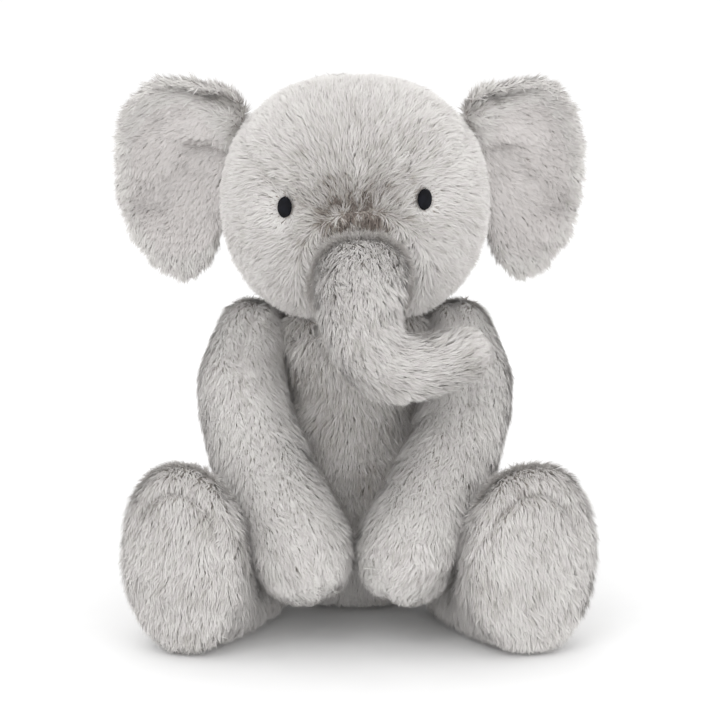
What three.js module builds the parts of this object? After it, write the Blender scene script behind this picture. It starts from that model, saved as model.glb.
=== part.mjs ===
// A seated stuffed elephant: fabric panels, the filling in each of them, and two stitched eyes.
// Millimetres, +Z up. The toy faces -Y, and its own left is +X.
// Each panel is its backing cloth; the pile stands off it and is no part of these solids.
import * as THREE from 'three';
import { mergeVertices } from 'three/addons/utils/BufferGeometryUtils.js';

// Cloth, seams and clearances
const cloth = 2;
const seamGap = 0.3;
const fillGap = 2;
const limbGap = 4;

// Torso: a pear that sits on a flat base
const torsoHeight = 156;
const torsoHipWidth = 108;
const torsoNeckWidth = 50;
const torsoDepthRatio = 0.84;
const torsoBack = 12;
const torsoShape = [[0.74, 0.76], [0.5, 0.95], [0.27, 1], [0.09, 0.94], [0, 0.74]];
const collarFlare = [5, 9];
const sideSeamAngle = 78;
const stuffingDrop = 20;
const pelletDepth = 34;

// Head: a wide rounded ball above the neck
const headWidth = 133;
const headHeight = 123;
const headDepth = 115;
const headRoundness = 0.88;
const neckHole = 46;
const neckRise = 4;
const neckPlugWidth = 34;
const neckPlugDepth = 18;
const neckPlugRise = 7;
const neckPlugBevel = 3;
const headFillRise = 12;

// Face seams, as angles round the head from straight ahead and shares of the way down from its top
const earSeamAngle = 92;
const backSeamAngle = 98;
const eyeSeamAngle = 25;
const trunkSeamAngle = 22;
const earSeamDrop = 0.23;
const eyeSeamDrop = 0.485;
const foreheadDrop = 0.56;

// Eyes
const eyeWidth = 7.2;
const eyeHeight = 9.8;
const eyeThickness = 2.6;
const eyeAngle = 31;
const eyeUnevenness = 0.009;

// Ears
const earWidth = 58;
const earHeight = 103;
const earShoulder = 1.7;
const earLean = 0.16;
const earClear = 3;
const earLayer = 2.6;
const earGap = 0.9;
const earCup = 11;
const earTurn = 10;
const earLift = 10;
const earSetBack = 12;
const earFlare = 0.1;
const earFold = 0.5;
const earFoldStart = 0.55;

// Trunk, from the face down and across to the toy's left
const trunkRootRadius = 24;
const trunkBendRadius = 17;
const trunkTipRadius = 12.5;
const trunkDrop = 0.625;
const trunkBends = [[0, 0, 0], [-1, -23, -13], [-5, -34, -60], [53, -26, -38]];
const trunkRootCap = 0.3;
const trunkTipCap = 0.7;
const trunkAside = 0.03;

// Arms
const armLength = 124;
const shoulderRadius = 18;
const armRadius = 21.5;
const pawRadius = 22.5;
const shoulderDrop = 8;
const shoulderAhead = 3;
const armRoute = [[0, 0, 0], [0.05, -0.2, -0.19], [-0.01, -0.41, -0.44], [-0.13, -0.6, -0.66], [-0.2, -0.68, -0.775]];
const upperArmEnd = 0.35;
const pawStart = 0.5;

// Legs
const legLength = 63;
const legRadius = 23;
const footWidth = 61;
const footHeight = 94;
const toeLift = 4;
const footDepth = 12;
const legSplay = 24;
const hipTurn = 25;
const hipLevel = 0.84;
const footStart = 0.5;
const soleThickness = 2.4;

// Tail and label
const tailRadius = 5;
const tailDrop = 0.66;
const tailBends = [[9, 12], [13, 28]];
const labelSize = [13, 20, 0.8];
const labelAngle = 118;
const labelDrop = 0.77;
const labelGap = 1.2;

// Panel ends stop this share short of a pole, where their seams meet
const poleShare = 0.012;
const capShare = 0.2;

const fur = { color: 0xc6c1ba, roughness: 0.95, metalness: 0 };
const lining = { color: 0xbdb5b3, roughness: 0.95, metalness: 0 };
const fibre = { color: 0xf1f0ec, roughness: 1, metalness: 0 };
const thread = { color: 0x15171f, roughness: 0.55, metalness: 0 };
const canvas = { color: 0xd8d2c4, roughness: 0.9, metalness: 0 };
const ribbon = { color: 0xefeeea, roughness: 0.6, metalness: 0 };

const { lerp, smoothstep, degToRad } = THREE.MathUtils;
const toy = new THREE.Group();

// Adds one named mesh to a group
function addMesh(group, name, geometry, look) {
  const mesh = new THREE.Mesh(geometry, new THREE.MeshStandardMaterial(look));
  mesh.name = name;
  group.add(mesh);
  return mesh;
}

// Six times the signed volume, which is negative when the faces point in
function signedVolume(corners, place) {
  const [a, b, c] = [new THREE.Vector3(), new THREE.Vector3(), new THREE.Vector3()];
  let total = 0;
  for (let i = 0; i < corners.length; i += 3) {
    a.fromBufferAttribute(place, corners[i]);
    b.fromBufferAttribute(place, corners[i + 1]);
    c.fromBufferAttribute(place, corners[i + 2]);
    total += a.dot(b.cross(c));
  }
  return total;
}

// Moves every vertex of a closed geometry through a map, then joins it into one body facing out
function reshape(geometry, map) {
  geometry.deleteAttribute('uv');
  geometry.deleteAttribute('normal');
  const moved = geometry.attributes.position;
  const point = new THREE.Vector3();
  for (let i = 0; i < moved.count; i++) {
    point.fromBufferAttribute(moved, i);
    const target = map(point);
    moved.setXYZ(i, target.x, target.y, target.z);
  }
  const merged = mergeVertices(geometry, 1e-4);
  const corners = [];
  for (let i = 0; i < merged.index.count; i += 3) {
    const face = [0, 1, 2].map((n) => merged.index.getX(i + n));
    if (new Set(face).size === 3) corners.push(...face);
  }
  if (signedVolume(corners, merged.attributes.position) < 0) corners.reverse();
  merged.setIndex(corners);
  merged.computeVertexNormals();
  return merged;
}

// Evenly spaced levels between two shares of a surface's length
function spread(start, end, cells) {
  return Array.from({ length: cells + 1 }, (_, n) => lerp(start, end, n / cells));
}

// One cloth panel of a surface: x runs round it, y through its levels and z through the cloth
function panel(surface, { low, high, levels, around }) {
  const cells = levels.length - 1;
  const box = new THREE.BoxGeometry(1, 1, 1, around, cells, 1);
  return reshape(box, (cell) => {
    const v = levels[Math.round((cell.y + 0.5) * cells)];
    const spare = seamGap / 2 / surface.radius(v);
    const u = lerp(low(v) + spare, high(v) - spare, cell.x + 0.5);
    return surface.point(u, v, (0.5 - cell.z) * cloth);
  });
}

// The filling: the whole surface, drawn in by the cloth and a clearance
function filling(surface, around, along) {
  return reshape(new THREE.SphereGeometry(1, around, along), (spot) => {
    const v = Math.acos(THREE.MathUtils.clamp(spot.y, -1, 1)) / Math.PI;
    const u = Math.atan2(spot.x, spot.z);
    return surface.point(u, v, cloth + fillGap);
  });
}

const always = (degrees) => () => degToRad(degrees);

// A power of a sine or cosine that keeps its sign, which squares a ball up a little
function rounded(value) {
  return Math.sign(value) * Math.abs(value) ** headRoundness;
}

// Torso

// Half width against height, from the neck opening down to the edge of the base
const torsoProfile = new THREE.SplineCurve([
  [torsoNeckWidth / 2, torsoHeight],
  [torsoNeckWidth / 2 + collarFlare[0], torsoHeight - collarFlare[1]],
  ...torsoShape.map(([rise, width]) => [torsoHipWidth / 2 * width, torsoHeight * rise]),
].map(([x, z]) => new THREE.Vector2(x, z)));

// The torso leans forward a little, so its neck stands in front of its seat
function torsoMiddle(z) {
  return torsoBack * (1 - smoothstep(z, torsoHeight * 0.3, torsoHeight));
}

const torsoSurface = {
  radius: (v) => torsoProfile.getPointAt(v).x,
  point(u, v, inset) {
    const rim = torsoProfile.getPointAt(v);
    const run = torsoProfile.getTangentAt(v);
    const across = rim.x + run.y * inset;
    const z = Math.max(rim.y - run.x * inset, 0);
    return new THREE.Vector3(
      across * Math.sin(u),
      torsoMiddle(z) - across * torsoDepthRatio * Math.cos(u),
      z,
    );
  },
};

function addTorso() {
  const spans = {
    torso_front_panel: [-sideSeamAngle, sideSeamAngle, 11],
    torso_back_left: [sideSeamAngle, 180, 7],
    torso_back_right: [-180, -sideSeamAngle, 7],
  };
  for (const [name, [low, high, around]] of Object.entries(spans)) {
    const cut = { low: always(low), high: always(high), levels: spread(0, 1, 10), around };
    addMesh(toy, name, panel(torsoSurface, cut), fur);
  }
  addTorsoBase();
  addTorsoFill('torso_stuffing', pelletDepth + seamGap, torsoHeight - stuffingDrop, fibre, 5);
  addTorsoFill('pellet_bag', cloth + seamGap, pelletDepth, canvas, 2);
}

// The oval base stands inside the panels' lower edges
function addTorsoBase() {
  const edge = torsoSurface.radius(1) - cloth - seamGap * 4;
  const outline = new THREE.Shape().absellipse(0, 0, edge, edge * torsoDepthRatio, 0, Math.PI * 2);
  const plate = new THREE.ExtrudeGeometry(outline, { depth: cloth, bevelEnabled: false, curveSegments: 28 });
  const base = addMesh(toy, 'torso_base', reshape(plate, (p) => p.clone()), fur);
  base.position.set(0, torsoMiddle(0), 0);
}

// A level slice of what fills the torso
function addTorsoFill(name, bottom, top, look, layers) {
  const form = new THREE.CylinderGeometry(1, 1, 1, 20, layers);
  const width = (z) => torsoWidthAt(z) - cloth - fillGap;
  const geometry = reshape(form, (p) => {
    const z = lerp(bottom, top, p.y + 0.5);
    const across = width(z) * Math.hypot(p.x, p.z);
    const u = Math.atan2(p.x, p.z);
    return new THREE.Vector3(
      across * Math.sin(u),
      torsoMiddle(z) - across * torsoDepthRatio * Math.cos(u),
      z,
    );
  });
  addMesh(toy, name, geometry, look);
}

// The torso's half width at a height, found on its profile by halving
function torsoWidthAt(z) {
  let [low, high] = [0, 1];
  for (let step = 0; step < 24; step++) {
    const middle = (low + high) / 2;
    if (torsoProfile.getPointAt(middle).y > z) low = middle;
    else high = middle;
  }
  return torsoProfile.getPointAt(low).x;
}

// Head

const headCentre = new THREE.Vector3(0, 0, torsoHeight + neckRise + headHeight / 2);
const neckEdge = 1 - Math.asin(neckHole / headWidth) / Math.PI;

const headSurface = {
  radius: (v) => headWidth / 2 * Math.sin(v * Math.PI),
  point(u, v, inset) {
    const [ring, rise] = [rounded(Math.sin(v * Math.PI)), rounded(Math.cos(v * Math.PI))];
    return new THREE.Vector3(
      (headWidth / 2 - inset) * ring * rounded(Math.sin(u)),
      -(headDepth / 2 - inset) * ring * rounded(Math.cos(u)),
      (headHeight / 2 - inset) * rise,
    ).add(headCentre);
  },
};

// The forehead's seam runs from the ear past the eye to the trunk
function browAngle(v) {
  const toEye = smoothstep(v, earSeamDrop, eyeSeamDrop);
  const toTrunk = smoothstep(v, eyeSeamDrop, foreheadDrop);
  const degrees = earSeamAngle - (earSeamAngle - eyeSeamAngle) * toEye;
  return degToRad(degrees - (eyeSeamAngle - trunkSeamAngle) * toTrunk);
}

// Neighbouring head panels share these levels, so that their edges run side by side
const headLevels = {
  crown: spread(poleShare, earSeamDrop, 3),
  temple: spread(earSeamDrop, eyeSeamDrop, 4),
  muzzle: spread(eyeSeamDrop, foreheadDrop, 1),
  jaw: spread(foreheadDrop, neckEdge, 4),
};

function addHead() {
  const back = always(backSeamAngle);
  const seam = seamGap / headHeight / 2;
  const { crown, temple, muzzle, jaw } = headLevels;
  const above = [...crown, ...temple.slice(1), ...muzzle.slice(1, -1), foreheadDrop - seam];
  const below = [foreheadDrop + seam, ...jaw.slice(1)];
  const beside = [...temple, ...muzzle.slice(1), ...jaw.slice(1)];
  const behind = [...crown, ...beside.slice(1)];
  const cut = (low, high, levels, around) => panel(headSurface, { low, high, levels, around });
  const chin = always(trunkSeamAngle);
  const mirrored = (edge) => (v) => -edge(v);
  addMesh(toy, 'head_forehead_panel', cut(mirrored(browAngle), browAngle, above, 12), fur);
  addMesh(toy, 'head_chin_panel', cut(mirrored(chin), chin, below, 3), fur);
  addMesh(toy, 'head_cheek_left', cut(browAngle, back, beside, 7), fur);
  addMesh(toy, 'head_cheek_right', cut(mirrored(back), mirrored(browAngle), beside, 7), fur);
  addMesh(toy, 'head_back_left', cut(back, always(180), behind, 6), fur);
  addMesh(toy, 'head_back_right', cut(always(-180), mirrored(back), behind, 6), fur);
  addMesh(toy, 'head_stuffing', headFill(), fibre);
}

// The head's filling is flat below, where the neck plug meets it
function headFill() {
  const floor = headSurface.point(0, neckEdge, 0).z + headFillRise;
  return reshape(new THREE.SphereGeometry(1, 18, 10), (spot) => {
    const v = Math.acos(THREE.MathUtils.clamp(spot.y, -1, 1)) / Math.PI;
    const p = headSurface.point(Math.atan2(spot.x, spot.z), v, cloth + fillGap);
    return p.setZ(Math.max(p.z, floor + spot.y));
  });
}

// The plug of firm filling that joins the head to the torso through both openings
function addNeck() {
  const low = torsoHeight - neckPlugDepth;
  const high = headSurface.point(0, neckEdge, 0).z + neckPlugRise;
  const [r, bevel] = [neckPlugWidth / 2, neckPlugBevel];
  const profile = [[0, low], [r - bevel, low], [r, low + bevel], [r, high - bevel], [r - bevel, high], [0, high]]
    .map(([x, z]) => new THREE.Vector2(x, z));
  const turned = new THREE.LatheGeometry(profile, 20).rotateX(Math.PI / 2);
  const plug = reshape(turned, (p) => new THREE.Vector3(p.x, p.y, Math.abs(p.z)));
  addMesh(toy, 'neck_plug', plug, fibre);
}

// Eyes

function addEyes() {
  for (const [name, side] of [['eye_left', 1], ['eye_right', -1]]) {
    const seat = headSurface.point(side * degToRad(eyeAngle), eyeSeamDrop - side * eyeUnevenness, 0);
    const ahead = seat.clone().sub(headCentre)
      .divide(new THREE.Vector3(headWidth ** 2, headDepth ** 2, headHeight ** 2)).normalize();
    const eye = addMesh(toy, name, eyeForm(), thread);
    eye.quaternion.setFromUnitVectors(new THREE.Vector3(0, -1, 0), ahead);
    eye.position.copy(seat).addScaledVector(ahead, seamGap * 2);
  }
}

// A low oval dome with a flat back that faces the head
function eyeForm() {
  return reshape(new THREE.SphereGeometry(1, 14, 6), (p) => new THREE.Vector3(
    p.x * eyeWidth / 2,
    p.z > 0 ? 0 : p.z * eyeThickness,
    p.y * eyeHeight / 2,
  ));
}

// Ears

// A cupped oval: x away from the head, y back and z up, from the middle of the ear's root
function earPoint(across, up, bias, depth) {
  const reach = Math.hypot(across, up);
  const shoulder = across < 0 && up > 0 ? earShoulder * across * up ** 2 : 0;
  const lean = up < 0 ? earLean * up ** 2 : 0;
  const x = earWidth / 2 * (across * (1 + earFlare * up) + shoulder - lean + 1);
  const hollow = earCup * (1 - reach ** 2) - earCup * earFold * smoothstep(up, earFoldStart, 1);
  const thick = depth * Math.sqrt(Math.max(1 - reach ** 2, 0));
  const point = new THREE.Vector3(x, hollow + bias + thick, earHeight / 2 * up);
  return point.applyAxisAngle(new THREE.Vector3(0, 0, 1), degToRad(earTurn));
}

// The head's half width at a place off its centre
function headReach(y, z) {
  const power = 2 / headRoundness;
  const share = 1 - Math.abs(2 * y / headDepth) ** power - Math.abs(2 * z / headHeight) ** power;
  return headWidth / 2 * Math.max(share, 0) ** (1 / power);
}

// Both layers of an ear keep clear of the head's side, so that the ear can fold
function addEars() {
  const root = new THREE.Vector3(headReach(earSetBack, earLift) + earClear, earSetBack, earLift);
  const layers = { lining: [-earGap / 2, -earLayer, lining], back: [earGap / 2, earLayer, fur] };
  for (const [name, side] of [['left', 1], ['right', -1]]) {
    for (const [layer, [bias, depth, look]] of Object.entries(layers)) {
      const form = reshape(new THREE.SphereGeometry(1, 22, 10), (p) => {
        const face = Math.sign(depth) * p.y > 0 ? depth : 0;
        const place = earPoint(p.x, p.z, bias, face).add(root);
        const clear = headReach(place.y, place.z) + earClear;
        return place.setX(side * Math.max(place.x, clear)).sub(new THREE.Vector3(side * root.x, root.y, root.z));
      });
      const ear = addMesh(toy, `ear_${name}_${layer}`, form, look);
      ear.position.copy(headCentre).add(new THREE.Vector3(side * root.x, root.y, root.z));
    }
  }
}

// Limbs

// A soft tube along a curve with a rounded cap at each end
function tubeSurface(curve, radiusAt, sideways, caps) {
  const ends = [curve.getTangentAt(0), curve.getTangentAt(1)];
  return {
    radius(v) {
      const t = THREE.MathUtils.clamp((v - capShare) / (1 - 2 * capShare), 0, 1);
      const close = Math.min(v, 1 - v, capShare) / capShare;
      return radiusAt(t) * Math.max(Math.sin(close * Math.PI / 2), 0.01);
    },
    point(u, v, inset) {
      const t = THREE.MathUtils.clamp((v - capShare) / (1 - 2 * capShare), 0, 1);
      const close = Math.min(v, 1 - v, capShare) / capShare * Math.PI / 2;
      const last = v > 0.5 ? 1 : 0;
      const run = curve.getTangentAt(t);
      const side = sideways.clone().addScaledVector(run, -sideways.dot(run)).normalize();
      const front = new THREE.Vector3().crossVectors(run, side);
      const radius = (radiusAt(t) - inset) * Math.sin(close);
      const beyond = (caps[last] - inset) * Math.cos(close) * (last ? 1 : -1);
      return curve.getPointAt(t)
        .addScaledVector(side, radius * Math.sin(u))
        .addScaledVector(front, radius * Math.cos(u))
        .addScaledVector(ends[last], beyond);
    },
  };
}

// Two halves of cloth and the filling between them
function addTube(group, names, surface, along, around) {
  const reach = { levels: spread(poleShare, 1 - poleShare, along), around };
  const [first, second, core] = names;
  addMesh(group, first, panel(surface, { ...reach, low: always(0), high: always(180) }), fur);
  addMesh(group, second, panel(surface, { ...reach, low: always(-180), high: always(0) }), fur);
  addMesh(group, core, filling(surface, 12, along), fibre);
}

function addArms() {
  const shoulderZ = torsoHeight - shoulderDrop;
  const shoulderX = torsoWidthAt(shoulderZ) + shoulderRadius + limbGap;
  for (const [name, side] of [['left', 1], ['right', -1]]) {
    const curve = new THREE.CatmullRomCurve3(armRoute.map(([x, y, z]) => new THREE.Vector3(
      side * (shoulderX + x * armLength),
      y * armLength - shoulderAhead,
      shoulderZ + z * armLength,
    )));
    const radiusAt = (t) => lerp(
      lerp(shoulderRadius, armRadius, smoothstep(t, 0, upperArmEnd)), pawRadius, smoothstep(t, pawStart, 1),
    );
    const surface = tubeSurface(curve, radiusAt, new THREE.Vector3(side, 0, 0), [shoulderRadius, pawRadius]);
    addTube(toy, [`arm_${name}_outer`, `arm_${name}_inner`, `arm_${name}_stuffing`], surface, 15, 6);
  }
}

function addTrunk() {
  const caps = [trunkRootRadius * trunkRootCap, trunkTipRadius * trunkTipCap];
  const root = headSurface.point(trunkAside, trunkDrop, -caps[0] - limbGap);
  const curve = new THREE.CubicBezierCurve3(
    ...trunkBends.map(([x, y, z]) => root.clone().add(new THREE.Vector3(x, y, z))),
  );
  const radiusAt = (t) => lerp(
    lerp(trunkRootRadius, trunkBendRadius, smoothstep(t, 0, 0.5)), trunkTipRadius, smoothstep(t, 0.5, 1),
  );
  const surface = tubeSurface(curve, radiusAt, new THREE.Vector3(0, -1, 0), caps);
  addTube(toy, ['trunk_top_panel', 'trunk_under_panel', 'trunk_stuffing'], surface, 20, 6);
}

// Legs

// Straight ahead along y, swelling into an upright oval foot
const legSurface = {
  radius: (v) => legRadius * Math.max(Math.sin(Math.min(v, capShare) / capShare * Math.PI / 2), 0.01),
  point(u, v, inset) {
    const t = THREE.MathUtils.clamp((v - capShare) / (1 - capShare), 0, 1);
    const close = Math.min(v, capShare) / capShare * Math.PI / 2;
    const swell = smoothstep(t, footStart, 1);
    const halfWidth = (lerp(legRadius, footWidth / 2, swell) - inset) * Math.sin(close);
    const halfHeight = (lerp(legRadius, footHeight / 2, swell) - inset) * Math.sin(close);
    const middle = lerp(legRadius, footHeight / 2 + toeLift, swell);
    const back = (legRadius - inset) * Math.cos(close);
    return new THREE.Vector3(halfWidth * Math.sin(u), back - legLength * t, middle + halfHeight * Math.cos(u));
  },
};

function addLegs() {
  const hip = hipPlace();
  for (const [name, side] of [['left', 1], ['right', -1]]) {
    const leg = new THREE.Group();
    leg.position.set(side * hip.x, hip.y, 0);
    leg.rotation.z = side * degToRad(legSplay);
    const reach = { levels: spread(poleShare, 1, 12), around: 7 };
    const halves = { right: [-180, 0], left: [0, 180] };
    for (const [half, [low, high]] of Object.entries(halves)) {
      const place = half === name ? 'outer' : 'inner';
      const cut = panel(legSurface, { ...reach, low: always(low), high: always(high) });
      addMesh(leg, `leg_${name}_${place}`, cut, fur);
    }
    addMesh(leg, `leg_${name}_sole`, soleForm(), fur).position.set(0, -legLength - seamGap, footHeight / 2 + toeLift);
    addMesh(leg, `leg_${name}_stuffing`, legFill(), fibre);
    toy.add(leg);
  }
}

// The leg's root stands clear of the torso, in line with the leg
function hipPlace() {
  const reach = legRadius + limbGap;
  const angle = degToRad(legSplay + hipTurn);
  const rim = torsoSurface.radius(hipLevel);
  return new THREE.Vector2(
    (rim + reach) * Math.sin(angle),
    torsoBack - (rim * torsoDepthRatio + reach) * Math.cos(angle),
  );
}

// The oval sole closes the front of the foot
function soleForm() {
  const outline = new THREE.Shape().absellipse(0, 0, footWidth / 2, footHeight / 2, 0, Math.PI * 2);
  const settings = {
    depth: soleThickness,
    curveSegments: 30,
    bevelThickness: footDepth - soleThickness,
    bevelSize: footDepth,
    bevelOffset: -footDepth,
    bevelSegments: 2,
  };
  const pad = new THREE.ExtrudeGeometry(outline, settings);
  return reshape(pad, (p) => new THREE.Vector3(p.x, -Math.max(p.z, 0), p.y));
}

// The leg's filling ends in a flat face behind the sole
function legFill() {
  const flat = 0.9;
  return reshape(new THREE.SphereGeometry(1, 12, 10), (spot) => {
    const v = Math.acos(THREE.MathUtils.clamp(spot.y, -1, 1)) / Math.PI;
    const p = legSurface.point(Math.atan2(spot.x, spot.z), Math.min(v / flat, 1) * 0.98, cloth + fillGap);
    const shrink = Math.min((1 - v) / (1 - flat), 1);
    return p.set(p.x * shrink, p.y, lerp(footHeight / 2 + toeLift, p.z, shrink));
  });
}

// Tail and label

function addTail() {
  const seat = torsoSurface.point(Math.PI, tailDrop, -limbGap - tailRadius);
  const curve = new THREE.CatmullRomCurve3(
    [[0, 0], ...tailBends].map(([back, down]) => seat.clone().add(new THREE.Vector3(0, back, -down))),
  );
  const surface = tubeSurface(curve, () => tailRadius, new THREE.Vector3(1, 0, 0), [tailRadius, tailRadius]);
  const form = reshape(new THREE.SphereGeometry(1, 10, 12), (spot) => {
    const v = Math.acos(THREE.MathUtils.clamp(spot.y, -1, 1)) / Math.PI;
    return surface.point(Math.atan2(spot.x, spot.z), v, 0);
  });
  addMesh(toy, 'tail', form, fur);
}

// A blank sewn-in label on the side seam, low at the toy's left
function addLabel() {
  const [width, height, thick] = labelSize;
  const turn = degToRad(labelAngle);
  const seat = torsoSurface.point(turn, labelDrop, -labelGap - width / 2);
  const label = addMesh(toy, 'care_label', new THREE.BoxGeometry(width, thick, height), ribbon);
  label.position.copy(seat);
  label.rotation.z = turn - Math.PI / 2;
}

addTorso();
addHead();
addNeck();
addEyes();
addEars();
addTrunk();
addArms();
addLegs();
addTail();
addLabel();

// The origin is under the middle of the toy, at the level that it sits on
const extent = new THREE.Box3().setFromObject(toy, true);
const middle = extent.getCenter(new THREE.Vector3());
toy.position.set(-middle.x, -middle.y, -extent.min.z);

export default toy;
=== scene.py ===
import math

import bmesh
import bpy
import numpy as np
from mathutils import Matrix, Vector, noise
from mathutils.bvhtree import BVHTree


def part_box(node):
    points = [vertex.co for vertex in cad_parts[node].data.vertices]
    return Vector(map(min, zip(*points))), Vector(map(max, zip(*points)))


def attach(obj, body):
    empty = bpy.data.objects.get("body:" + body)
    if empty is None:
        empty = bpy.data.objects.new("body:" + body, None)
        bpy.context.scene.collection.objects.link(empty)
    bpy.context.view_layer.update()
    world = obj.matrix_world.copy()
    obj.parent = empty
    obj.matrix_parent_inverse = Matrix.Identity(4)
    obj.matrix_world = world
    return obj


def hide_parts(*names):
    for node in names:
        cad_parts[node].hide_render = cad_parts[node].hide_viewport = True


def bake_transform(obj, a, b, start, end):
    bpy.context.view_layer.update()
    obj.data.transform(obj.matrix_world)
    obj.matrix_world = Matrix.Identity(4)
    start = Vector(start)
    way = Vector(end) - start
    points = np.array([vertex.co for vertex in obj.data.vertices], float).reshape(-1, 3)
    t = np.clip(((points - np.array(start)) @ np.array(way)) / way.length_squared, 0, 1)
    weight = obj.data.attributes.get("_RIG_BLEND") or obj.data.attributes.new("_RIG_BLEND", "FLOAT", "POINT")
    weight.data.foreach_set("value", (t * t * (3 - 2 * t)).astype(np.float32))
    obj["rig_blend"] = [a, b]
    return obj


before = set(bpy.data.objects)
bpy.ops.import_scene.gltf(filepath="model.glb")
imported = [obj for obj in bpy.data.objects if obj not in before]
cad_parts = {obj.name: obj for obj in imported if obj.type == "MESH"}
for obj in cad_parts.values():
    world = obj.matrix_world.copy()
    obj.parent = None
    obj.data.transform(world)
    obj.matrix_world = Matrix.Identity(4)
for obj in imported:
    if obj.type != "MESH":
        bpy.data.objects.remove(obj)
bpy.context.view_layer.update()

scene = bpy.context.scene
scene.view_settings.view_transform = "Standard"


# Small helpers

def linear(red, green, blue):
    # a display colour, 0 to 255, as scene light
    values = [channel / 255 for channel in (red, green, blue)]
    return tuple(v / 12.92 if v < 0.04 else ((v + 0.055) / 1.055) ** 2.4 for v in values) + (1.0,)


def smoothstep(values, low, high):
    t = np.clip((values - low) / (high - low), 0, 1)
    return t * t * (3 - 2 * t)


def unit(vectors):
    return vectors / np.maximum(np.linalg.norm(vectors, axis=1, keepdims=True), 1e-9)


def spot(points, centre, radii):
    # 1 at the centre of a soft oval spot, falling to 0 outside it
    away = (points - np.array(centre)) / np.array(radii)
    return np.exp(-(away ** 2).sum(axis=1))


def tousle(points, scale):
    # soft random directions that change over about 1 / scale metres
    return np.array([noise.noise_vector(Vector(p) * scale) for p in points])


def places(mesh):
    found = np.empty(len(mesh.vertices) * 3)
    mesh.vertices.foreach_get("co", found)
    return found.reshape(-1, 3)


def setPlaces(mesh, points):
    mesh.vertices.foreach_set("co", points.astype(np.float32).ravel())
    mesh.update()


def facing(mesh):
    found = np.empty(len(mesh.vertices) * 3, np.float32)
    mesh.vertex_normals.foreach_get("vector", found)
    return found.reshape(-1, 3).astype(float)


def keep(mesh, name, values, kind="FLOAT"):
    layer = mesh.attributes.new(name, kind, "POINT")
    layer.data.foreach_set("vector" if kind == "FLOAT_VECTOR" else "value", values.astype(np.float32).ravel())


def addObject(name, mesh):
    made = bpy.data.objects.new(name, mesh)
    scene.collection.objects.link(made)
    return made


def middleOf(*nodes):
    low = np.min([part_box(node)[0] for node in nodes], axis=0)
    high = np.max([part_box(node)[1] for node in nodes], axis=0)
    return (low + high) / 2, low, high


# Builds nodes: inputs by name or number, each a value or another node's socket

def nodeAdder(tree):
    def add(kind, inputs=None, **settings):
        node = tree.nodes.new(kind)
        for key, value in settings.items():
            setattr(node, key, value)
        for key, value in (inputs or {}).items():
            if isinstance(value, bpy.types.NodeSocket):
                tree.links.new(value, node.inputs[key])
            else:
                node.inputs[key].default_value = value
        return node
    return add


# Shader groups

def makeMottleGroup():
    # two colours mixed by soft patches and fine grain, with a height for bump
    tree = bpy.data.node_groups.new("mottle", "ShaderNodeTree")
    face = tree.interface
    face.new_socket(name="Light", in_out="INPUT", socket_type="NodeSocketColor")
    face.new_socket(name="Dark", in_out="INPUT", socket_type="NodeSocketColor")
    for name, value in {"Patch": 60.0, "Grain": 900.0, "Share": 0.5}.items():
        face.new_socket(name=name, in_out="INPUT", socket_type="NodeSocketFloat").default_value = value
    face.new_socket(name="Color", in_out="OUTPUT", socket_type="NodeSocketColor")
    face.new_socket(name="Height", in_out="OUTPUT", socket_type="NodeSocketFloat")
    add = nodeAdder(tree)
    taken = add("NodeGroupInput").outputs
    where = add("ShaderNodeTexCoord").outputs["Object"]
    patches = add("ShaderNodeTexNoise", {"Vector": where, "Scale": taken["Patch"], "Detail": 3.0})
    grain = add("ShaderNodeTexNoise", {"Vector": where, "Scale": taken["Grain"], "Detail": 4.0})
    both = add("ShaderNodeMix", {0: taken["Share"], 2: patches.outputs[0], 3: grain.outputs[0]})
    ramp = add("ShaderNodeMapRange", {0: both.outputs[0], 1: 0.36, 2: 0.64}, interpolation_type="SMOOTHSTEP")
    colour = add("ShaderNodeMix", {0: ramp.outputs[0], 6: taken["Dark"], 7: taken["Light"]}, data_type="RGBA")
    add("NodeGroupOutput", {"Color": colour.outputs[2], "Height": grain.outputs[0]})
    return tree


def makeWeaveGroup():
    # crossing yarns for the canvas and the ribbon
    tree = bpy.data.node_groups.new("weave", "ShaderNodeTree")
    face = tree.interface
    face.new_socket(name="Yarn", in_out="INPUT", socket_type="NodeSocketFloat").default_value = 400.0
    face.new_socket(name="Height", in_out="OUTPUT", socket_type="NodeSocketFloat")
    add = nodeAdder(tree)
    taken = add("NodeGroupInput").outputs
    where = add("ShaderNodeTexCoord").outputs["Object"]
    warp = add("ShaderNodeTexWave", {"Vector": where, "Scale": taken["Yarn"], "Distortion": 0.4},
               bands_direction="Z")
    weft = add("ShaderNodeTexWave", {"Vector": where, "Scale": taken["Yarn"], "Distortion": 0.4},
               bands_direction="DIAGONAL")
    both = add("ShaderNodeMath", {0: warp.outputs["Fac"], 1: weft.outputs["Fac"]}, operation="MAXIMUM")
    add("NodeGroupOutput", {"Height": both.outputs[0]})
    return tree


mottleGroup = makeMottleGroup()
weaveGroup = makeWeaveGroup()


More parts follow.
